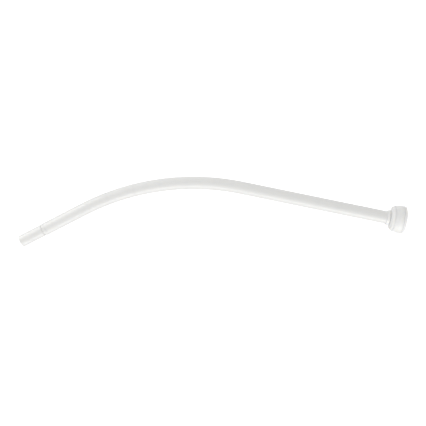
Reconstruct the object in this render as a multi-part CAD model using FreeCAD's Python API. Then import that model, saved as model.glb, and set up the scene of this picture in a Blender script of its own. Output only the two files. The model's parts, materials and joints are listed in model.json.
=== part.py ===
import FreeCAD, Part
import math
import os
from FreeCAD import Placement, Rotation, Vector

# A bendable dental saliva ejector: a slim tube with a forming wire in its wall, a hose
# spigot on its rear end and a pull-off strainer cap on its front end. Millimetres.
# Origin: on the spigot's axis at the shoulder where the hose stops. The tube leaves it
# along +X and bends in the XY plane towards -Y.

# Route of the centreline, measured from the hose shoulder
REAR_STRAIGHT = 17.9
BEND_R = 95.0
BEND_DEG = 38.8
FRONT_STRAIGHT = 58.7
HINGES = 6  # places where the soft bend flexes

# Tube and forming wire
TUBE_R = 2.5
BORE_R = 1.7
WIRE_R = 0.25
WIRE_CHANNEL_R = 0.27
WIRE_HEIGHT = 2.1  # wire centre above the centreline, inside the tube's wall
WIRE_START = 3.0
WIRE_END_SETBACK = 1.2
END_CHAMFER = 0.12

# Flex joints: a round nose turns in a round hollow about a vertical axis
NOSE_R = 2.6
HOLLOW_R = 2.65
CUTTER = 8.0  # larger than any section of the tube

# Outlet spigot
SPIGOT_R = 2.375
SPIGOT_LENGTH = 9.75
SPIGOT_BORE_R = 1.6
SPIGOT_NOSE_FILLET = 0.35
SPIGOT_BORE_FILLET = 0.25
SHANK_BORE_R = 1.2
GROOVE_R = 2.05
GROOVE_WIDTH = 0.55
LIP_END = 1.5
PRESS = 0.03  # how much larger a pressed shank is than its bore
SHANK_LENGTH = 6.5
LEAD_IN = 0.3  # chamfer on the ends that are pushed into something

# Cap connector, measured along the front axis from its collar's datum. The collar's
# flange, the neck and the whole cap lean by the set angle about the collar's pivot.
CAP_SET_DEG = 3.5
SET_PIVOT = 0.3
COLLAR_START = -0.2
COLLAR_END = 0.5
COLLAR_R = 2.9
COLLAR_FILLET = 0.15
FLANGE_START = 0.15
FLANGE_END = 0.8
FLANGE_R = 3.0
FLANGE_FILLET = 0.15
NECK_R = 2.62
NECK_END = 3.7
NECK_BORE_START = 0.2
NECK_BORE_R = 1.3
SHANK_BORE_END = 0.35
GLAND_START = 2.1
GLAND_END = 2.7
GLAND_R = 2.14

# O-ring, shown relaxed between the gland and the cap's bore
SEAL_R = 2.39
SEAL_WIRE_R = 0.24

# Cap: base, shell and strainer front, measured from the same datum
HUB_START = 0.95
HUB_R = 3.0
HUB_CHAMFER = 0.1
CAP_BACK = 1.6
CAP_BORE_R = 2.67
RIM_R = 4.6
RIM_FILLET = 0.4
BASE_END = 2.5
BASE_END_R = 5.0
BASE_SPIGOT_R = 4.4
BASE_SPIGOT_END = 3.5
BASE_SPIGOT_WALL = 0.7
BASE_CONE_START = 3.1
SHOULDER_END = 4.3
SHOULDER_FILLET = 1.5
CAP_R = 5.45
FRONT_START = 5.85
CAVITY_R = 4.75
FRONT_SPIGOT_START = 5.0
FRONT_CAVITY_R = 4.25
FRONT_CORNER = 6.95
FRONT_CORNER_FILLET = 0.5
APEX = 7.07
FRONT_WALL = 0.7
SEAM_CHAMFER = 0.15

# Strainer openings
SLOTS = 12
SLOT_WIDTH = 1.2
SLOT_INNER_R = 3.3
SLOT_OUTER_R = 5.15
SLOT_START = 6.25
HOLE_START = 6.05
RING_HOLES = 6
RING_R = 2.1
HOLE_R = 0.55

BEND_START = REAR_STRAIGHT
BEND_LENGTH = BEND_R * math.radians(BEND_DEG)
BEND_END = BEND_START + BEND_LENGTH
COLLAR_DATUM = BEND_END + FRONT_STRAIGHT
TUBE_END = COLLAR_DATUM + COLLAR_START
BEND_CENTRE = Vector(BEND_START, -BEND_R, 0)
X_AXIS = Vector(1, 0, 0)


def station(along):
    """Place on the centreline that far from the shoulder, with local +X towards the cap."""
    turn = min(max(along - BEND_START, 0), BEND_LENGTH) / BEND_R
    on_bend = BEND_CENTRE + Vector(math.sin(turn), math.cos(turn), 0) * BEND_R
    straight = min(along - BEND_START, 0) + max(along - BEND_END, 0)
    ahead = Vector(math.cos(turn), -math.sin(turn), 0)
    return Placement(on_bend + ahead * straight, Rotation(Vector(0, 0, 1), -math.degrees(turn)))


def placed(shape, along):
    """The shape moved from the origin to its place on the centreline."""
    moved = shape.copy()
    moved.Placement = station(along).multiply(moved.Placement)
    return moved


def on_cap_axis(shape):
    """The shape moved from the origin to the leaning axis of the neck and the cap."""
    pivot = Vector(SET_PIVOT, 0, 0)
    lean = Placement(Vector(), Rotation(Vector(0, 0, 1), CAP_SET_DEG), pivot)
    moved = shape.copy()
    moved.Placement = lean.multiply(moved.Placement)
    return placed(moved, COLLAR_DATUM)


def disc(radius, height=0.0):
    """A round face across the X axis, with its centre that far up."""
    circle = Part.makeCircle(radius, Vector(0, 0, height), X_AXIS)
    return Part.Face(Part.Wire(circle))


def sweep(section, start, end):
    """The section carried along the centreline between two distances."""
    stretches = []
    for low, high in ((0, BEND_START), (BEND_START, BEND_END), (BEND_END, TUBE_END)):
        first = max(start, low)
        last = min(end, high)
        if last <= first:
            continue
        face = placed(section, first)
        if low == BEND_START:
            turn = math.degrees((last - first) / BEND_R)
            stretches.append(face.revolve(BEND_CENTRE, Vector(0, 0, -1), turn))
        else:
            stretches.append(face.extrude(station(first).Rotation.multVec(X_AXIS) * (last - first)))
    whole = stretches[0]
    for stretch in stretches[1:]:
        whole = whole.fuse(stretch)
    return whole.removeSplitter()


def drum(radius):
    """A vertical cylinder about the Z axis, taller than the tube."""
    return Part.makeCylinder(radius, 2 * CUTTER, Vector(0, 0, -CUTTER))


def past_nose():
    """All that lies ahead of a flex joint and outside its round nose."""
    block = Part.makeBox(CUTTER, 2 * CUTTER, 2 * CUTTER, Vector(0, -CUTTER, -CUTTER))
    return block.cut(drum(NOSE_R))


def hinge_at(index):
    """Distance of a flex joint along the centreline; they are evenly spread over the bend."""
    return BEND_START + (index + 0.5) * BEND_LENGTH / HINGES


def flex_segments(section, start, end):
    """The section from start to end, divided at the flex joints into solids that can turn."""
    segments = []
    for index in range(HINGES + 1):
        first = start if index == 0 else hinge_at(index - 1)
        last = end if index == HINGES else hinge_at(index) + CUTTER / 2
        segment = sweep(section, first, last)
        if index < HINGES:
            segment = segment.cut(placed(past_nose(), hinge_at(index)))
        if index > 0:
            segment = segment.cut(placed(drum(HOLLOW_R), hinge_at(index - 1)))
        segments.append(segment)
    return segments


def lathe(*points):
    """A solid turned about the X axis from an outline of (x, radius) corners."""
    corners = [Vector(x, radius, 0) for x, radius in points]
    outline = Part.makePolygon(corners + corners[:1])
    return Part.Face(outline).revolve(Vector(), X_AXIS, 360)


def rings(solid, x, radius):
    """The solid's round edges about the X axis at that place and radius."""
    def matches(edge):
        box = edge.BoundBox
        off = max(abs(box.XMin - x), abs(box.XMax - x), abs(box.YMax - radius))
        return off < 0.01
    return [edge for edge in solid.Edges if matches(edge)]


def rounded(solid, size, x, radius):
    return solid.makeFillet(size, rings(solid, x, radius))


def chamfered(solid, size, x, radius):
    return solid.makeChamfer(size, rings(solid, x, radius))


def outlet_spigot():
    """The end the suction hose pushes onto, with its lip and the shank inside the tube."""
    shank_r = BORE_R + PRESS
    shank_end = LIP_END + SHANK_LENGTH
    body = lathe(
        (-SPIGOT_LENGTH, SPIGOT_BORE_R),
        (-SPIGOT_LENGTH, SPIGOT_R),
        (0, SPIGOT_R),
        (0, GROOVE_R),
        (GROOVE_WIDTH, GROOVE_R),
        (GROOVE_WIDTH, TUBE_R),
        (LIP_END, TUBE_R),
        (LIP_END, shank_r),
        (shank_end, shank_r),
        (shank_end, SHANK_BORE_R),
        (LIP_END, SHANK_BORE_R),
        (0, SPIGOT_BORE_R),
    )
    body = rounded(body, SPIGOT_NOSE_FILLET, -SPIGOT_LENGTH, SPIGOT_R)
    body = rounded(body, SPIGOT_BORE_FILLET, -SPIGOT_LENGTH, SPIGOT_BORE_R)
    body = chamfered(body, END_CHAMFER, GROOVE_WIDTH, TUBE_R)
    body = chamfered(body, END_CHAMFER, LIP_END, TUBE_R)
    return chamfered(body, LEAD_IN, shank_end, shank_r)


def tube_segments():
    """The tube's wall with the forming wire's channel, with both ends' outer edges eased."""
    section = disc(TUBE_R).cut(disc(BORE_R)).cut(disc(WIRE_CHANNEL_R, WIRE_HEIGHT))
    segments = flex_segments(section, LIP_END, TUBE_END)
    segments[0] = chamfered(segments[0], END_CHAMFER, LIP_END, TUBE_R)
    return segments


def wire_segments():
    """The soft steel wire that holds the shape the tube is bent to."""
    section = disc(WIRE_R, WIRE_HEIGHT)
    return flex_segments(section, WIRE_START, TUBE_END - WIRE_END_SETBACK)


def cap_shank():
    """Solid shank and collar of the connector, in line with the tube."""
    shank_r = BORE_R + PRESS
    shank_start = COLLAR_START - SHANK_LENGTH
    body = lathe(
        (shank_start, 0),
        (shank_start, shank_r),
        (COLLAR_START, shank_r),
        (COLLAR_START, COLLAR_R),
        (COLLAR_END, COLLAR_R),
        (COLLAR_END, 0),
    )
    body = chamfered(body, LEAD_IN, shank_start, shank_r)
    return rounded(body, COLLAR_FILLET, COLLAR_START, COLLAR_R)


def cap_neck():
    """Solid flange and neck of the connector, in line with the cap."""
    body = lathe(
        (FLANGE_START, 0),
        (FLANGE_START, FLANGE_R),
        (FLANGE_END, FLANGE_R),
        (FLANGE_END, NECK_R),
        (GLAND_START, NECK_R),
        (GLAND_START, GLAND_R),
        (GLAND_END, GLAND_R),
        (GLAND_END, NECK_R),
        (NECK_END, NECK_R),
        (NECK_END, 0),
    )
    body = rounded(body, FLANGE_FILLET, FLANGE_END, FLANGE_R)
    return chamfered(body, LEAD_IN, NECK_END, NECK_R)


def bore(radius, start, end):
    """A round cutter along the X axis."""
    return Part.makeCylinder(radius, end - start, Vector(start, 0, 0), X_AXIS)


def cap_connector():
    """Shank pressed into the tube, collar against its end, and the neck that holds the cap."""
    shank_bore = bore(SHANK_BORE_R, COLLAR_START - SHANK_LENGTH - 1, SHANK_BORE_END)
    neck_bore = bore(NECK_BORE_R, NECK_BORE_START, NECK_END + 1)
    body = placed(cap_shank(), COLLAR_DATUM).fuse(on_cap_axis(cap_neck()))
    return body.cut(placed(shank_bore, COLLAR_DATUM)).cut(on_cap_axis(neck_bore))


def cap_seal():
    """The O-ring in the neck's gland, which the cap slides and turns on."""
    return Part.makeTorus(SEAL_R, SEAL_WIRE_R, Vector((GLAND_START + GLAND_END) / 2, 0, 0), X_AXIS)


def cap_base():
    """Rear of the cap: a hub over the neck, the rim that the fingers pull and a spigot."""
    body = lathe(
        (HUB_START, CAP_BORE_R),
        (HUB_START, HUB_R),
        (CAP_BACK, HUB_R),
        (CAP_BACK, RIM_R),
        (BASE_END, BASE_END_R),
        (BASE_END, BASE_SPIGOT_R),
        (BASE_SPIGOT_END, BASE_SPIGOT_R),
        (BASE_SPIGOT_END, BASE_SPIGOT_R - BASE_SPIGOT_WALL),
        (BASE_CONE_START, CAP_BORE_R),
    )
    body = rounded(body, RIM_FILLET, CAP_BACK, RIM_R)
    body = chamfered(body, HUB_CHAMFER, HUB_START, HUB_R)
    return chamfered(body, SEAM_CHAMFER, BASE_END, BASE_END_R)


def cap_shell():
    """Middle of the cap: a flared sleeve from the base's shoulder to the full diameter."""
    body = lathe(
        (BASE_END, BASE_SPIGOT_R),
        (BASE_END, BASE_END_R),
        (SHOULDER_END, CAP_R),
        (FRONT_START, CAP_R),
        (FRONT_START, CAVITY_R),
        (BASE_SPIGOT_END, CAVITY_R),
        (BASE_SPIGOT_END, BASE_SPIGOT_R),
    )
    body = rounded(body, SHOULDER_FILLET, SHOULDER_END, CAP_R)
    body = chamfered(body, SEAM_CHAMFER, BASE_END, BASE_END_R)
    return chamfered(body, SEAM_CHAMFER, FRONT_START, CAP_R)


def strainer_openings():
    """Cutters for the ring of slots and the holes inside it."""
    reach = APEX - HOLE_START + 1
    cutters = [Part.makeCylinder(HOLE_R, reach, Vector(HOLE_START, 0, 0), X_AXIS)]
    for index in range(RING_HOLES):
        turn = index * 2 * math.pi / RING_HOLES
        foot = Vector(HOLE_START, RING_R * math.cos(turn), RING_R * math.sin(turn))
        cutters.append(Part.makeCylinder(HOLE_R, reach, foot, X_AXIS))
    corner = Vector(SLOT_START, SLOT_INNER_R, -SLOT_WIDTH / 2)
    for index in range(SLOTS):
        slot = Part.makeBox(reach, SLOT_OUTER_R - SLOT_INNER_R, SLOT_WIDTH, corner)
        slot.rotate(Vector(), X_AXIS, (index + 0.5) * 360 / SLOTS)
        cutters.append(slot)
    return cutters


def strainer_front():
    """Front of the cap: a slightly domed strainer pressed into the shell."""
    dome_r = (CAP_R ** 2 + (APEX - FRONT_CORNER) ** 2) / (2 * (APEX - FRONT_CORNER))
    body = lathe(
        (FRONT_SPIGOT_START, 0),
        (FRONT_SPIGOT_START, CAVITY_R),
        (FRONT_START, CAVITY_R),
        (FRONT_START, CAP_R),
        (APEX, CAP_R),
        (APEX, 0),
    )
    body = body.common(Part.makeSphere(dome_r, Vector(APEX - dome_r, 0, 0)))
    body = rounded(body, FRONT_CORNER_FILLET, FRONT_CORNER, CAP_R)
    body = chamfered(body, SEAM_CHAMFER, FRONT_START, CAP_R)
    depth = FRONT_CORNER - FRONT_WALL - FRONT_SPIGOT_START
    hollow = Part.makeCylinder(FRONT_CAVITY_R, depth, Vector(FRONT_SPIGOT_START, 0, 0), X_AXIS)
    crown = Part.makeSphere(dome_r - FRONT_WALL, Vector(APEX - dome_r, 0, 0))
    bore = Part.makeCylinder(FRONT_CAVITY_R, APEX, Vector(), X_AXIS)
    body = body.cut(hollow).cut(crown.common(bore))
    for cutter in strainer_openings():
        body = body.cut(cutter)
    return body


def segment_names(stem):
    """Names for the segments from the spigot to the cap."""
    return [f"{stem}_rear"] + [f"{stem}_link_{n}" for n in range(1, HINGES)] + [f"{stem}_front"]


def all_nodes():
    nodes = {"outlet_spigot": outlet_spigot()}
    nodes.update(zip(segment_names("tube"), tube_segments()))
    nodes.update(zip(segment_names("wire"), wire_segments()))
    nodes["cap_connector"] = cap_connector()
    for make in (cap_seal, cap_base, cap_shell, strainer_front):
        nodes[make.__name__] = on_cap_axis(make())
    return nodes


os.makedirs("parts", exist_ok=True)
for name, shape in all_nodes().items():
    solids = shape.Solids
    if len(solids) != 1 or not shape.isValid():
        raise ValueError(f"{name} has {len(solids)} solids, valid {shape.isValid()}")
    solids[0].exportStep(f"parts/{name}.step")
    print(f"{name}: {solids[0].Volume:.2f} mm3")
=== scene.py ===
import json
import math

import bmesh
import bpy
from mathutils import Matrix, Vector

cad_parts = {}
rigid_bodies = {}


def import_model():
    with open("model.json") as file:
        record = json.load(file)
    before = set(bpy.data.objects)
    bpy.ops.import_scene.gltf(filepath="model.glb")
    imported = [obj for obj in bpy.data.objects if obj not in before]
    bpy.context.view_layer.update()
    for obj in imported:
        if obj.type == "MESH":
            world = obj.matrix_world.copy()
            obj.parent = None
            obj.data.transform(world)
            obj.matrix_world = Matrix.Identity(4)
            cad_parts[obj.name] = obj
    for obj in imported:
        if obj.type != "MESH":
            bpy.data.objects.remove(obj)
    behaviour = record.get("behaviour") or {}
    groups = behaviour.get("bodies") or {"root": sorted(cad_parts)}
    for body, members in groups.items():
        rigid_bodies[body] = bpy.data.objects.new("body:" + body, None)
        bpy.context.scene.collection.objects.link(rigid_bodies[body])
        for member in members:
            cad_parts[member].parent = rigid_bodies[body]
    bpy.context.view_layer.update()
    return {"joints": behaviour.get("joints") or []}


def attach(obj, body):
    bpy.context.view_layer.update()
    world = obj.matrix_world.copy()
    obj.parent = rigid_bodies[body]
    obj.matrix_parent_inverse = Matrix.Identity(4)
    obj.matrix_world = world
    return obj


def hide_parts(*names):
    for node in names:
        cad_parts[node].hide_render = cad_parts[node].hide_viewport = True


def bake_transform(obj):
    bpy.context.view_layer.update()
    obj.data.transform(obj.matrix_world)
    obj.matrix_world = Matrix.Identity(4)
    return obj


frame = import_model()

# A bendable dental saliva ejector lying on a pale table. The tube, its forming wire, the hose
# spigot and the strainer cap take the places of the CAD nodes; the spigot and the cap pieces
# follow their bodies.
# Sizes are in millimetres unless a comment says otherwise, and MM turns them into metres.
MM = 0.001

# Route of the tube's centreline, from the hose shoulder at the origin
REAR_STRAIGHT = 17.9
BEND_R = 95.0
BEND_DEG = 38.8
FRONT_STRAIGHT = 58.7

# Tube and forming wire
TUBE_R = 2.5
BORE_R = 1.7
WIRE_R = 0.25
WIRE_HEIGHT = 2.1  # wire centre above the centreline, inside the tube's wall
WIRE_START = 3.0
WIRE_END_SETBACK = 1.2

# Outlet spigot and its lip
SPIGOT_R = 2.375
SPIGOT_LENGTH = 9.75
SPIGOT_BORE_R = 1.6
SPIGOT_NOSE_EDGE = 0.35
SPIGOT_BORE_EDGE = 0.25
THROAT_EDGE = 0.2
GROOVE_R = 2.05
GROOVE_WIDTH = 0.55
LIP_END = 1.5
LIP_EDGE = 0.14

# Shanks that are pressed into the tube's ends
SHANK_R = 1.73
SHANK_BORE_R = 1.2
SHANK_LENGTH = 6.5
LEAD_IN = 0.3  # rounding on the ends that are pushed into something

# Cap connector, along the front axis from the collar's datum
CAP_SET_DEG = 3.5  # the neck and the cap lean a little on the tube's end
SET_PIVOT = 0.3
COLLAR_START = -0.2
COLLAR_END = 0.5
COLLAR_R = 2.9
COLLAR_EDGE = 0.15
FLANGE_START = 0.15
FLANGE_END = 0.8
FLANGE_R = 3.0
NECK_R = 2.62
NECK_END = 3.7
NECK_FOOT_EDGE = 0.05
NECK_BORE_START = 0.2
NECK_BORE_R = 1.3
SHANK_BORE_END = 0.35
BORE_CUT_PAST = 0.3  # how far a bore's cutter passes the end that it opens
GLAND_START = 2.1
GLAND_END = 2.7
GLAND_R = 2.14

# O-ring, relaxed between the gland and the cap's bore
SEAL_MIDDLE = 2.4
SEAL_R = 2.39
SEAL_WIRE_R = 0.24

# Cap base, from the same datum
CAP_BORE_R = 2.67
HUB_START = 0.95
HUB_R = 3.0
HUB_EDGE = 0.04
HUB_BLEND_START = 1.15
HUB_BLEND_R = 3.7  # where the moulded blend from the hub meets the cap's back
HUB_BLEND_EDGE = 0.3
CAP_BACK = 1.6
RIM_R = 4.6
RIM_EDGE = 0.5
BASE_END = 2.5
BASE_END_R = 4.96
BASE_SPIGOT_R = 4.4
BASE_SPIGOT_BORE_R = 3.7
BASE_SPIGOT_END = 3.5
BASE_CONE_START = 3.1

# Cap shell
BACK_SEAM = 0.1  # half the width of the seam between the base and the shell
BACK_SEAM_R = 4.85
SHELL_BACK_R = 5.02
SHOULDER_END = 4.3
SHOULDER_EDGE = 2.5
CAP_R = 5.45
CAVITY_R = 4.75

# Strainer front
FRONT_START = 5.85
FRONT_SEAM = 0.15  # half the width of the seam between the shell and the front, and its depth
FRONT_SPIGOT_START = 5.0
FRONT_CAVITY_R = 4.25
FRONT_CORNER = 6.95
FRONT_CORNER_EDGE = 0.5
DOME_MIDDLE = 7.05  # a corner halfway out on the slightly domed front
DOME_MIDDLE_R = 3.0
APEX = 7.07
FRONT_WALL = 0.7
CAVITY_END = 6.3
CAVITY_EDGE = 0.15

# Strainer openings
SLOTS = 12
SLOT_WIDTH = 1.2
SLOT_INNER_R = 3.3
SLOT_OUTER_R = 5.15
SLOT_START = 6.25
RING_HOLES = 6
RING_R = 2.1
HOLE_R = 0.55
HOLE_MIDDLE = 7.0
CUTTER_LENGTH = 2.0

# Roundings that several corners share
PLAIN_EDGE = 0.02  # on a corner that gives no radius of its own
SEAM_FOOT_EDGE = 0.03  # at the foot of a seam, and at the mouth of the cap's bore
STEP_EDGE = 0.06  # on the spigot's shoulder, the flange and the gland
SOFT_EDGE = 0.1  # on the shoulders of the back seam, and on the ends of the seats
FRONT_SEAM_EDGE = 0.12

# Fineness of the meshes
AROUND = 96  # corners round a turned piece
TUBE_AROUND = 64
WIRE_AROUND = 16
SEAL_AROUND = 16  # corners round the O-ring's section
HOLE_AROUND = 32
RING_STEP = 0.8  # distance between the rings along the tube
ARC_STEPS = 5  # faces across a rounded corner
SUPPORT = 0.03  # distance of the extra ring that keeps a flat side flat beside a rounding
SUPPORTED_SIDE = 0.12  # sides longer than this get such a ring
EDGE_SHARE = 0.6  # the most that one rounding takes of a side
ON_AXIS = 1e-6  # a smaller radius is on the axis
SHARP_DEG = 35  # edges bent more than this stay sharp
SHORTEST_EDGE = 0.002  # shorter ones are taken out after a cut

# Sockets of a Mix node that mixes colours
MIX_FACTOR = 0
MIX_FIRST = 6
MIX_SECOND = 7
MIX_RESULT = 2

# Values that most of a noise texture lies between
NOISE_LOW = 0.3
NOISE_HIGH = 0.7

# Table top and the places where the part rests on it
CAP_REST = 4.8  # from the collar's datum
BEND_REST = 0.6  # share of the bend
SPIGOT_REST = -9.3
FLOOR_GAP = 0.02  # the table top lies this far under the part
FLOOR_REACH = 2.0  # metres from its middle to its sides

# Camera, looking straight down; radians and metres
ROLL = math.radians(-27.24)
AIM = Vector((0.06291, -0.0247, 0))
CAMERA_HEIGHT = 0.298
FIELD_WIDTH = 0.16835
CLIP_START = 0.01
CLIP_END = 10

BEND_LENGTH = BEND_R * math.radians(BEND_DEG)
BEND_END = REAR_STRAIGHT + BEND_LENGTH
COLLAR_DATUM = BEND_END + FRONT_STRAIGHT
TUBE_END = COLLAR_DATUM + COLLAR_START
WIRE_END = TUBE_END - WIRE_END_SETBACK

# The flex joints from the spigot to the cap, and the bodies that they join
BENDS = [j for j in frame["joints"] if j["name"].startswith("tube_bend")]
CHAIN = [BENDS[0]["parent"]] + [j["child"] for j in BENDS]


# ---------------------------------------------------------------- mesh helpers


def station(along):
    """Matrix of the place that far along the centreline, local +X towards the cap."""
    turn = min(max(along - REAR_STRAIGHT, 0), BEND_LENGTH) / BEND_R
    point = Vector((REAR_STRAIGHT + BEND_R * math.sin(turn), BEND_R * (math.cos(turn) - 1), 0))
    straight = min(along - REAR_STRAIGHT, 0) + max(along - BEND_END, 0)
    point += Vector((math.cos(turn), -math.sin(turn), 0)) * straight
    return Matrix.Translation(point * MM) @ Matrix.Rotation(-turn, 4, "Z")


def cap_place():
    """Matrix of the cap's datum, leaning about the collar's pivot."""
    pivot = Matrix.Translation((SET_PIVOT * MM, 0, 0))
    lean = pivot @ Matrix.Rotation(math.radians(CAP_SET_DEG), 4, "Z") @ pivot.inverted()
    return station(COLLAR_DATUM) @ lean


def add_piece(name, bm, material):
    """Makes the bmesh a smooth shaded piece in the scene."""
    bmesh.ops.recalc_face_normals(bm, faces=bm.faces)
    mesh = bpy.data.meshes.new(name)
    bm.to_mesh(mesh)
    bm.free()
    mesh.shade_smooth()
    mesh.set_sharp_from_angle(angle=math.radians(SHARP_DEG))
    mesh.materials.append(material)
    mesh.uv_layers.active.name = "UVMap"
    piece = bpy.data.objects.new(name, mesh)
    bpy.context.scene.collection.objects.link(piece)
    return piece


def join_rings(bm, rings, uv_rows, closed):
    """Quads between rings of corners, with u along the rings' order and v around each ring."""
    uv = bm.loops.layers.uv.verify()
    pairs = list(zip(range(len(rings)), range(1, len(rings))))
    if closed:
        pairs.append((len(rings) - 1, 0))
    for a, b in pairs:
        low, high = rings[a], rings[b]
        count = max(len(low), len(high))
        for k in range(count):
            corners = [
                (low[k % len(low)], uv_rows[a], k),
                (high[k % len(high)], uv_rows[b], k),
                (high[(k + 1) % len(high)], uv_rows[b], k + 1),
                (low[(k + 1) % len(low)], uv_rows[a], k + 1),
            ]
            unique = []
            for corner in corners:
                if corner[0] not in [kept[0] for kept in unique]:
                    unique.append(corner)
            if len(unique) < 3:
                continue
            face = bm.faces.new([corner[0] for corner in unique])
            for loop, corner in zip(face.loops, unique):
                loop[uv].uv = (corner[1], corner[2] / count)


def ring_of(bm, place, x, radius, around=AROUND, height=0.0):
    """A ring of corners across the local X axis, or one corner on the axis."""
    if radius < ON_AXIS:
        return [bm.verts.new(place @ Vector((x * MM, 0, height * MM)))]
    ring = []
    for k in range(around):
        turn = 2 * math.pi * k / around
        local = Vector((x, radius * math.sin(turn), height + radius * math.cos(turn)))
        ring.append(bm.verts.new(place @ (local * MM)))
    return ring


def eased(outline):
    """Rounds an outline's corners. A corner is (x, r), or (x, r, radius of its rounding)."""
    points = []
    count = len(outline)
    for i, corner in enumerate(outline):
        here = Vector(corner[:2])
        radius = corner[2] if len(corner) > 2 else PLAIN_EDGE
        before = Vector(outline[i - 1][:2]) - here
        after = Vector(outline[(i + 1) % count][:2]) - here
        if here.y < ON_AXIS or radius == 0:
            points.append(here)
            continue
        half = before.angle(after) / 2
        reach = min(radius / math.tan(half), before.length * EDGE_SHARE, after.length * EDGE_SHARE)
        backward = before.normalized()
        forward = after.normalized()
        start = here + backward * reach
        end = here + forward * reach
        middle = here + (backward + forward).normalized() * reach / math.cos(half)
        if before.length > SUPPORTED_SIDE:
            points.append(start + backward * min(SUPPORT, reach))
        for step in range(ARC_STEPS + 1):
            spoke = (start - middle).lerp(end - middle, step / ARC_STEPS)
            points.append(middle + spoke.normalized() * (start - middle).length)
        if after.length > SUPPORTED_SIDE:
            points.append(end + forward * min(SUPPORT, reach))
    return points


def lathe(outline, place):
    """A bmesh turned about the local X axis of a place, from a closed outline of corners."""
    bm = bmesh.new()
    points = eased(outline)
    rings = [ring_of(bm, place, point.x, point.y) for point in points]
    lengths = [0.0]
    for a, b in zip(points, points[1:]):
        lengths.append(lengths[-1] + (b - a).length)
    join_rings(bm, rings, lengths, closed=True)
    return bm


def swept(start, end, loops, around):
    """A bmesh along the centreline between two distances, from (radius, height) loops."""
    bm = bmesh.new()
    count = max(2, math.ceil((end - start) / RING_STEP))
    steps = [start + (end - start) * i / count for i in range(count + 1)]
    sides = []
    for radius, height in loops:
        sides.append([ring_of(bm, station(s), 0, radius, around, height) for s in steps])
    for side in sides:
        join_rings(bm, side, steps, closed=False)
    for last in (0, -1):
        rings = [side[last] for side in sides]
        if len(rings) == 1:
            bm.faces.new(rings[0])
        else:
            join_rings(bm, rings, [steps[last]] * 2, closed=False)
    return bm


# ---------------------------------------------------------------- materials


def new_material(name, colour, roughness):
    """A node material; returns it with its tree and its surface shader."""
    material = bpy.data.materials.new(name)
    material.use_nodes = True
    tree = material.node_tree
    shader = tree.nodes["Principled BSDF"]
    shader.inputs["Base Color"].default_value = (*colour, 1)
    shader.inputs["Roughness"].default_value = roughness
    return material, tree, shader


def noise(tree, vector, scale, detail=3.0):
    """A noise texture's value at the given coordinates."""
    node = tree.nodes.new("ShaderNodeTexNoise")
    node.inputs["Scale"].default_value = scale
    node.inputs["Detail"].default_value = detail
    tree.links.new(vector, node.inputs["Vector"])
    return node.outputs["Fac"]


def mapped(tree, source, scale=(1, 1, 1)):
    """Texture coordinates from the object or its uv map, stretched by a scale on each axis."""
    coordinates = tree.nodes.new("ShaderNodeTexCoord")
    stretch = tree.nodes.new("ShaderNodeMapping")
    stretch.inputs["Scale"].default_value = scale
    tree.links.new(coordinates.outputs[source], stretch.inputs["Vector"])
    return stretch.outputs["Vector"]


def spread(tree, value, low, high):
    """A noise value spread over another range."""
    node = tree.nodes.new("ShaderNodeMapRange")
    node.inputs["From Min"].default_value = NOISE_LOW
    node.inputs["From Max"].default_value = NOISE_HIGH
    node.inputs["To Min"].default_value = low
    node.inputs["To Max"].default_value = high
    tree.links.new(value, node.inputs["Value"])
    return node.outputs["Result"]


def tinted(tree, shader, factor, dark, light):
    """Base colour that varies between two colours."""
    mix = tree.nodes.new("ShaderNodeMix")
    mix.data_type = "RGBA"
    mix.inputs[MIX_FIRST].default_value = (*dark, 1)
    mix.inputs[MIX_SECOND].default_value = (*light, 1)
    tree.links.new(factor, mix.inputs[MIX_FACTOR])
    tree.links.new(mix.outputs[MIX_RESULT], shader.inputs["Base Color"])


def darkened(tree, shader, factor, share):
    """Base colour made darker by up to that share where the factor is 1."""
    old = shader.inputs["Base Color"].links[0].from_socket
    mix = tree.nodes.new("ShaderNodeMix")
    mix.data_type = "RGBA"
    mix.blend_type = "MULTIPLY"
    mix.inputs[MIX_SECOND].default_value = (1 - share, 1 - share, 1 - share, 1)
    tree.links.new(factor, mix.inputs[MIX_FACTOR])
    tree.links.new(old, mix.inputs[MIX_FIRST])
    tree.links.new(mix.outputs[MIX_RESULT], shader.inputs["Base Color"])


def bumped(tree, shader, heights, depth):
    """A bump from height values added together; depth is in metres."""
    total = heights[0]
    for height in heights[1:]:
        add = tree.nodes.new("ShaderNodeMath")
        add.operation = "ADD"
        tree.links.new(total, add.inputs[0])
        tree.links.new(height, add.inputs[1])
        total = add.outputs[0]
    bump = tree.nodes.new("ShaderNodeBump")
    bump.inputs["Distance"].default_value = depth
    tree.links.new(total, bump.inputs["Height"])
    tree.links.new(bump.outputs["Normal"], shader.inputs["Normal"])


def scatter(shader, weight, radius_mm):
    """Light that enters the plastic and comes out close by, the red a little farther off."""
    shader.inputs["Subsurface Weight"].default_value = weight
    shader.inputs["Subsurface Radius"].default_value = (1.0, 0.95, 0.85)
    shader.inputs["Subsurface Scale"].default_value = radius_mm * MM


def painted_top_shade(tree, half_width):
    """Painted shade: 1 along the top of the tube and its spigot, where the least light falls,
    falling to 0 beside it.

    The half width is a share of the way round the tube.
    """
    split = tree.nodes.new("ShaderNodeSeparateXYZ")
    tree.links.new(mapped(tree, "UV"), split.inputs["Vector"])
    # v runs from 0 at the top, all the way round, to 1, so it is folded at the half
    fold = tree.nodes.new("ShaderNodeMath")
    fold.operation = "PINGPONG"
    fold.inputs[1].default_value = 0.5
    tree.links.new(split.outputs["Y"], fold.inputs[0])
    band = tree.nodes.new("ShaderNodeMapRange")
    band.interpolation_type = "SMOOTHSTEP"
    band.inputs["From Min"].default_value = 0.0
    band.inputs["From Max"].default_value = half_width
    band.inputs["To Min"].default_value = 1.0
    band.inputs["To Max"].default_value = 0.0
    tree.links.new(fold.outputs[0], band.inputs["Value"])
    return band.outputs["Result"]


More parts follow.
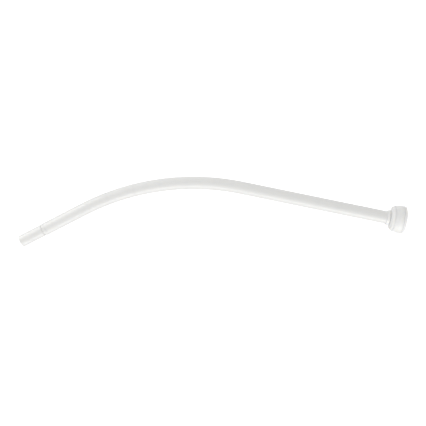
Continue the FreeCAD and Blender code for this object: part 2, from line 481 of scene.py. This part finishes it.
def tube_plastic():
    """Extruded white plastic: fine lines along the tube, slight clouding, painted shade along the
    top.
    """
    material, tree, shader = new_material("tube_plastic", (0.802, 0.80, 0.785), roughness=0.2)
    lines = noise(tree, mapped(tree, "UV", scale=(0.02, 220, 1)), scale=1.0, detail=4.0)
    clouds = noise(tree, mapped(tree, "Object"), scale=260.0)
    clouding = spread(tree, clouds, low=0, high=1)
    tinted(tree, shader, clouding, dark=(0.794, 0.792, 0.777), light=(0.81, 0.808, 0.793))
    # the base colour is darkened along the top of the tube and spigot: painted shade
    darkened(tree, shader, painted_top_shade(tree, half_width=0.075), share=0.035)
    tree.links.new(spread(tree, lines, low=0.16, high=0.26), shader.inputs["Roughness"])
    bumped(tree, shader, [lines, clouds], depth=0.00001)
    scatter(shader, weight=0.25, radius_mm=0.5)
    return material


def cap_plastic():
    """Moulded white plastic: a soft gloss with a faint spark-eroded grain."""
    material, tree, shader = new_material("cap_plastic", (0.86, 0.855, 0.835), roughness=0.35)
    grain = noise(tree, mapped(tree, "Object"), scale=5000.0, detail=2.0)
    clouds = noise(tree, mapped(tree, "Object"), scale=400.0)
    clouding = spread(tree, clouds, low=0, high=1)
    tinted(tree, shader, clouding, dark=(0.84, 0.835, 0.815), light=(0.88, 0.875, 0.855))
    tree.links.new(spread(tree, grain, low=0.3, high=0.4), shader.inputs["Roughness"])
    bumped(tree, shader, [grain, clouds], depth=0.000004)
    scatter(shader, weight=0.6, radius_mm=0.9)
    return material


def wire_steel():
    """Drawn steel wire with lines along it."""
    material, tree, shader = new_material("wire_steel", (0.56, 0.55, 0.53), roughness=0.35)
    shader.inputs["Metallic"].default_value = 1.0
    lines = noise(tree, mapped(tree, "UV", scale=(0.2, 60, 1)), scale=1.0)
    streaks = spread(tree, lines, low=0, high=1)
    tinted(tree, shader, streaks, dark=(0.48, 0.47, 0.45), light=(0.62, 0.61, 0.59))
    tree.links.new(spread(tree, lines, low=0.28, high=0.45), shader.inputs["Roughness"])
    bumped(tree, shader, [lines], depth=0.000004)
    return material


def seal_rubber():
    """Milky silicone with a matt bloom."""
    material, tree, shader = new_material("seal_rubber", (0.72, 0.72, 0.70), roughness=0.6)
    bloom = noise(tree, mapped(tree, "Object"), scale=1500.0, detail=4.0)
    dusting = spread(tree, bloom, low=0, high=1)
    tinted(tree, shader, dusting, dark=(0.66, 0.66, 0.64), light=(0.76, 0.76, 0.74))
    tree.links.new(spread(tree, bloom, low=0.5, high=0.7), shader.inputs["Roughness"])
    bumped(tree, shader, [bloom], depth=0.000008)
    scatter(shader, weight=0.4, radius_mm=0.4)
    return material


# ---------------------------------------------------------------- pieces


def middles():
    """Distances along the centreline where one bending piece hands over to the next."""
    spacing = BEND_LENGTH / len(BENDS)
    return [REAR_STRAIGHT + spacing * i for i in range(len(BENDS) + 1)]


def bending_pieces(stem, start, end, loops, around, material):
    """A tube or wire in one piece per flex joint, each swept along the centreline as it lies at
    rest.
    """
    marks = middles()
    for i, (back, ahead) in enumerate(zip(CHAIN, CHAIN[1:])):
        low = start if i == 0 else marks[i]
        high = end if i == len(BENDS) - 1 else marks[i + 1]
        bm = swept(low, high, loops, around)
        piece = add_piece(f"{stem}_skin_{i + 1}", bm, material)
        first = station(marks[i]).translation
        last = station(marks[i + 1]).translation
        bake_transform(piece)
        if i == 0:
            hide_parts(f"{stem}_rear")
            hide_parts(f"{stem}_link_1")
        elif i < len(BENDS) - 1:
            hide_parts(f"{stem}_link_{i + 1}")
        else:
            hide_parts(f"{stem}_front")


def turned_piece(name, body, outline, material, place):
    """A detailed turned piece that takes the place of the CAD node of that name."""
    piece = add_piece(name + "_detail", lathe(outline, place), material)
    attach(piece, body)
    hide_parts(name)
    return piece


def reshape(piece, operation, other_bm):
    """Cuts another mesh out of a piece, or joins it to the piece, and keeps the result."""
    bmesh.ops.recalc_face_normals(other_bm, faces=other_bm.faces)
    mesh = bpy.data.meshes.new("tool")
    other_bm.to_mesh(mesh)
    other_bm.free()
    mesh.materials.append(piece.data.materials[0])
    tool = bpy.data.objects.new("tool", mesh)
    bpy.context.scene.collection.objects.link(tool)
    change = piece.modifiers.new("change", "BOOLEAN")
    change.operation = operation
    change.solver = "MANIFOLD"
    change.object = tool
    bpy.context.view_layer.update()
    evaluated = piece.evaluated_get(bpy.context.evaluated_depsgraph_get())
    piece.data = bpy.data.meshes.new_from_object(evaluated)
    piece.modifiers.clear()
    bpy.data.objects.remove(tool)
    bm = bmesh.new()
    bm.from_mesh(piece.data)
    bmesh.ops.dissolve_degenerate(bm, edges=bm.edges, dist=SHORTEST_EDGE * MM)
    bm.to_mesh(piece.data)
    bm.free()
    piece.data.shade_smooth()
    piece.data.set_sharp_from_angle(angle=math.radians(SHARP_DEG))


def outlet_spigot(material):
    """The end the suction hose pushes onto, with its lip and the shank inside the tube."""
    shank_end = LIP_END + SHANK_LENGTH
    outline = [
        (-SPIGOT_LENGTH, SPIGOT_BORE_R, SPIGOT_BORE_EDGE),
        (-SPIGOT_LENGTH, SPIGOT_R, SPIGOT_NOSE_EDGE),
        (0, SPIGOT_R, STEP_EDGE),
        (0, GROOVE_R),
        (GROOVE_WIDTH, GROOVE_R),
        (GROOVE_WIDTH, TUBE_R, LIP_EDGE),
        (LIP_END, TUBE_R, LIP_EDGE),
        (LIP_END, SHANK_R),
        (shank_end, SHANK_R, LEAD_IN),
        (shank_end, SHANK_BORE_R),
        (LIP_END, SHANK_BORE_R),
        (0, SPIGOT_BORE_R, THROAT_EDGE),
    ]
    turned_piece("outlet_spigot", CHAIN[0], outline, material, station(0))


def bore_outline(radius, start, end):
    """Outline of a round cutter along the X axis."""
    return [(start, 0), (start, radius), (end, radius), (end, 0)]


def cap_connector(material):
    """The shank and collar in line with the tube, joined to the leaning flange and neck."""
    shank_start = COLLAR_START - SHANK_LENGTH
    shank = [
        (shank_start, 0),
        (shank_start, SHANK_R, LEAD_IN),
        (COLLAR_START, SHANK_R),
        (COLLAR_START, COLLAR_R, COLLAR_EDGE),
        (COLLAR_END, COLLAR_R),
        (COLLAR_END, 0),
    ]
    neck = [
        (FLANGE_START, 0),
        (FLANGE_START, FLANGE_R),
        (FLANGE_END, FLANGE_R, STEP_EDGE),
        (FLANGE_END, NECK_R, NECK_FOOT_EDGE),
        (GLAND_START, NECK_R, STEP_EDGE),
        (GLAND_START, GLAND_R),
        (GLAND_END, GLAND_R),
        (GLAND_END, NECK_R, STEP_EDGE),
        (NECK_END, NECK_R, LEAD_IN),
        (NECK_END, 0),
    ]
    shank_bore = bore_outline(SHANK_BORE_R, shank_start - BORE_CUT_PAST, SHANK_BORE_END)
    neck_bore = bore_outline(NECK_BORE_R, NECK_BORE_START, NECK_END + BORE_CUT_PAST)
    straight = station(COLLAR_DATUM)
    piece = turned_piece("cap_connector", CHAIN[-1], shank, material, straight)
    reshape(piece, "UNION", lathe(neck, cap_place()))
    reshape(piece, "DIFFERENCE", lathe(shank_bore, straight))
    reshape(piece, "DIFFERENCE", lathe(neck_bore, cap_place()))


def cap_seal(material):
    """The O-ring in the neck's gland, which the cap slides and turns on."""
    outline = []
    for k in range(SEAL_AROUND):
        turn = 2 * math.pi * k / SEAL_AROUND
        x = SEAL_MIDDLE + SEAL_WIRE_R * math.cos(turn)
        outline.append((x, SEAL_R + SEAL_WIRE_R * math.sin(turn), 0))
    turned_piece("cap_seal", "seal", outline, material, cap_place())


def cap_base(material):
    """Rear of the cap: a hub over the neck, the rim that the fingers pull and a spigot."""
    outline = [
        (HUB_START, CAP_BORE_R, SEAM_FOOT_EDGE),
        (HUB_START, HUB_R, HUB_EDGE),
        (HUB_BLEND_START, HUB_R, HUB_BLEND_EDGE),
        (CAP_BACK, HUB_BLEND_R, HUB_BLEND_EDGE),
        (CAP_BACK, RIM_R, RIM_EDGE),
        (BASE_END - BACK_SEAM, BASE_END_R, SOFT_EDGE),
        (BASE_END, BACK_SEAM_R, SEAM_FOOT_EDGE),
        (BASE_END, BASE_SPIGOT_R),
        (BASE_SPIGOT_END, BASE_SPIGOT_R, SOFT_EDGE),
        (BASE_SPIGOT_END, BASE_SPIGOT_BORE_R, SOFT_EDGE),
        (BASE_CONE_START, CAP_BORE_R, SOFT_EDGE),
    ]
    turned_piece("cap_base", "cap", outline, material, cap_place())


def cap_shell(material):
    """Middle of the cap: a flared sleeve from the base's shoulder to the full diameter."""
    outline = [
        (BASE_END, BASE_SPIGOT_R),
        (BASE_END, BACK_SEAM_R, SEAM_FOOT_EDGE),
        (BASE_END + BACK_SEAM, SHELL_BACK_R, SOFT_EDGE),
        (SHOULDER_END, CAP_R, SHOULDER_EDGE),
        (FRONT_START - FRONT_SEAM, CAP_R, FRONT_SEAM_EDGE),
        (FRONT_START, CAP_R - FRONT_SEAM, SEAM_FOOT_EDGE),
        (FRONT_START, CAVITY_R),
        (BASE_SPIGOT_END, CAVITY_R, SOFT_EDGE),
        (BASE_SPIGOT_END, BASE_SPIGOT_R),
    ]
    turned_piece("cap_shell", "cap", outline, material, cap_place())


def strainer_openings():
    """One bmesh of the ring of slots and the holes inside it."""
    bm = bmesh.new()
    for k in range(RING_HOLES + 1):
        turn = 2 * math.pi * k / RING_HOLES
        out = RING_R if k < RING_HOLES else 0
        middle = Vector((HOLE_MIDDLE, out * math.cos(turn), out * math.sin(turn))) * MM
        hole = bmesh.ops.create_cone(
            bm,
            cap_ends=True,
            segments=HOLE_AROUND,
            radius1=HOLE_R * MM,
            radius2=HOLE_R * MM,
            depth=CUTTER_LENGTH * MM,
        )
        move = cap_place() @ Matrix.Translation(middle) @ Matrix.Rotation(math.pi / 2, 4, "Y")
        bmesh.ops.transform(bm, matrix=move, verts=hole["verts"])
    slot_middle = (SLOT_START + CUTTER_LENGTH / 2, (SLOT_INNER_R + SLOT_OUTER_R) / 2, 0)
    middle = Matrix.Translation(Vector(slot_middle) * MM)
    slot_depth = SLOT_OUTER_R - SLOT_INNER_R
    size = Matrix.Diagonal((CUTTER_LENGTH * MM, slot_depth * MM, SLOT_WIDTH * MM, 1))
    for k in range(SLOTS):
        slot = bmesh.ops.create_cube(bm, size=1.0)
        spin = Matrix.Rotation((k + 0.5) * 2 * math.pi / SLOTS, 4, "X")
        bmesh.ops.transform(bm, matrix=cap_place() @ spin @ middle @ size, verts=slot["verts"])
    return bm


def strainer_front(material):
    """Front of the cap: a slightly domed strainer pressed into the shell."""
    outline = [
        (FRONT_SPIGOT_START, FRONT_CAVITY_R, SOFT_EDGE),
        (FRONT_SPIGOT_START, CAVITY_R, SOFT_EDGE),
        (FRONT_START, CAVITY_R),
        (FRONT_START, CAP_R - FRONT_SEAM, SEAM_FOOT_EDGE),
        (FRONT_START + FRONT_SEAM, CAP_R, FRONT_SEAM_EDGE),
        (FRONT_CORNER, CAP_R, FRONT_CORNER_EDGE),
        (DOME_MIDDLE, DOME_MIDDLE_R, 0),
        (APEX, 0),
        (APEX - FRONT_WALL, 0),
        (CAVITY_END, FRONT_CAVITY_R, CAVITY_EDGE),
    ]
    piece = turned_piece("strainer_front", "cap", outline, material, cap_place())
    reshape(piece, "DIFFERENCE", strainer_openings())


# ---------------------------------------------------------------- studio


def underside(place, radius):
    """The lowest point of a round section of that radius at a place."""
    return place.translation + Vector((0, 0, -radius)) * MM


def contact_floor():
    """The table top: a plane through the lowest points of the cap, the bend and the spigot."""
    cap_point = underside(cap_place() @ Matrix.Translation((CAP_REST * MM, 0, 0)), CAP_R)
    bend_point = underside(station(REAR_STRAIGHT + BEND_LENGTH * BEND_REST), TUBE_R)
    spigot_point = underside(station(SPIGOT_REST), SPIGOT_R)
    normal = (cap_point - spigot_point).cross(bend_point - spigot_point)
    if normal.z < 0:
        normal = -normal
    return spigot_point - normal.normalized() * FLOOR_GAP * MM, normal.normalized()


def floor_material():
    """Matt white paper that glows a little, so that it stays white to its edges."""
    material, tree, shader = new_material("pale_floor", (0.93, 0.93, 0.93), roughness=0.9)
    shader.inputs["Emission Color"].default_value = (1, 1, 1, 1)
    shader.inputs["Emission Strength"].default_value = 0.55
    paper = noise(tree, mapped(tree, "Object"), scale=300.0)
    fibres = spread(tree, paper, low=0, high=1)
    tinted(tree, shader, fibres, dark=(0.92, 0.92, 0.92), light=(0.94, 0.94, 0.94))
    return material


def make_floor():
    """The table top, which takes the part's shadow but throws no light back on the part."""
    point, normal = contact_floor()
    mesh = bpy.data.meshes.new("floor")
    corners = []
    for x, y in ((-1, -1), (1, -1), (1, 1), (-1, 1)):
        corners.append((x * FLOOR_REACH, y * FLOOR_REACH, 0))
    mesh.from_pydata(corners, [], [(0, 1, 2, 3)])
    mesh.materials.append(floor_material())
    floor = bpy.data.objects.new("floor", mesh)
    tilt = normal.to_track_quat("Z", "Y").to_matrix().to_4x4()
    floor.matrix_world = Matrix.Translation(point) @ tilt
    floor.visible_diffuse = False
    floor.visible_glossy = False
    bpy.context.scene.collection.objects.link(floor)


def seen(right, up, out):
    """A direction or place given by the camera's right, up and towards the camera."""
    return Matrix.Rotation(ROLL, 3, "Z") @ Vector((right, up, out))


def make_camera():
    """A camera straight above, rolled to lay the part across the view."""
    data = bpy.data.cameras.new("camera")
    data.lens = data.sensor_width * CAMERA_HEIGHT / FIELD_WIDTH
    data.clip_start = CLIP_START
    data.clip_end = CLIP_END
    camera = bpy.data.objects.new("camera", data)
    camera.location = AIM + Vector((0, 0, CAMERA_HEIGHT))
    camera.rotation_euler = (0, 0, ROLL)
    bpy.context.scene.collection.objects.link(camera)
    bpy.context.scene.camera = camera


def softbox(name, place, size, power):
    """A square area light aimed at the middle of the part; metres and watts."""
    data = bpy.data.lights.new(name, "AREA")
    data.shape = "SQUARE"
    data.size = size
    data.energy = power
    light = bpy.data.objects.new(name, data)
    light.location = AIM + place
    light.rotation_euler = (-place).to_track_quat("-Z", "Y").to_euler()
    bpy.context.scene.collection.objects.link(light)


def make_lights():
    """A white room, a large light from the foot of the view, a weak one from its top left."""
    world = bpy.data.worlds.new("studio")
    bpy.context.scene.world = world
    world.use_nodes = True
    background = world.node_tree.nodes["Background"]
    background.inputs["Color"].default_value = (1, 1, 1, 1)
    background.inputs["Strength"].default_value = 0.775
    softbox("key", seen(right=0.1, up=-0.85, out=0.26), size=0.6, power=2.9)
    softbox("side", seen(right=-0.2, up=0.13, out=0.08), size=0.15, power=0.17)


def main():
    """Builds the pieces, then the studio around them."""
    tube = tube_plastic()
    cap = cap_plastic()
    walls = [(TUBE_R, 0), (BORE_R, 0)]
    strand = [(WIRE_R, WIRE_HEIGHT)]
    bending_pieces("tube", LIP_END, TUBE_END, walls, TUBE_AROUND, tube)
    bending_pieces("wire", WIRE_START, WIRE_END, strand, WIRE_AROUND, wire_steel())
    outlet_spigot(tube)
    cap_connector(cap)
    cap_seal(seal_rubber())
    cap_base(cap)
    cap_shell(cap)
    strainer_front(cap)
    make_floor()
    make_camera()
    make_lights()
    bpy.context.scene.view_settings.view_transform = "Standard"


main()
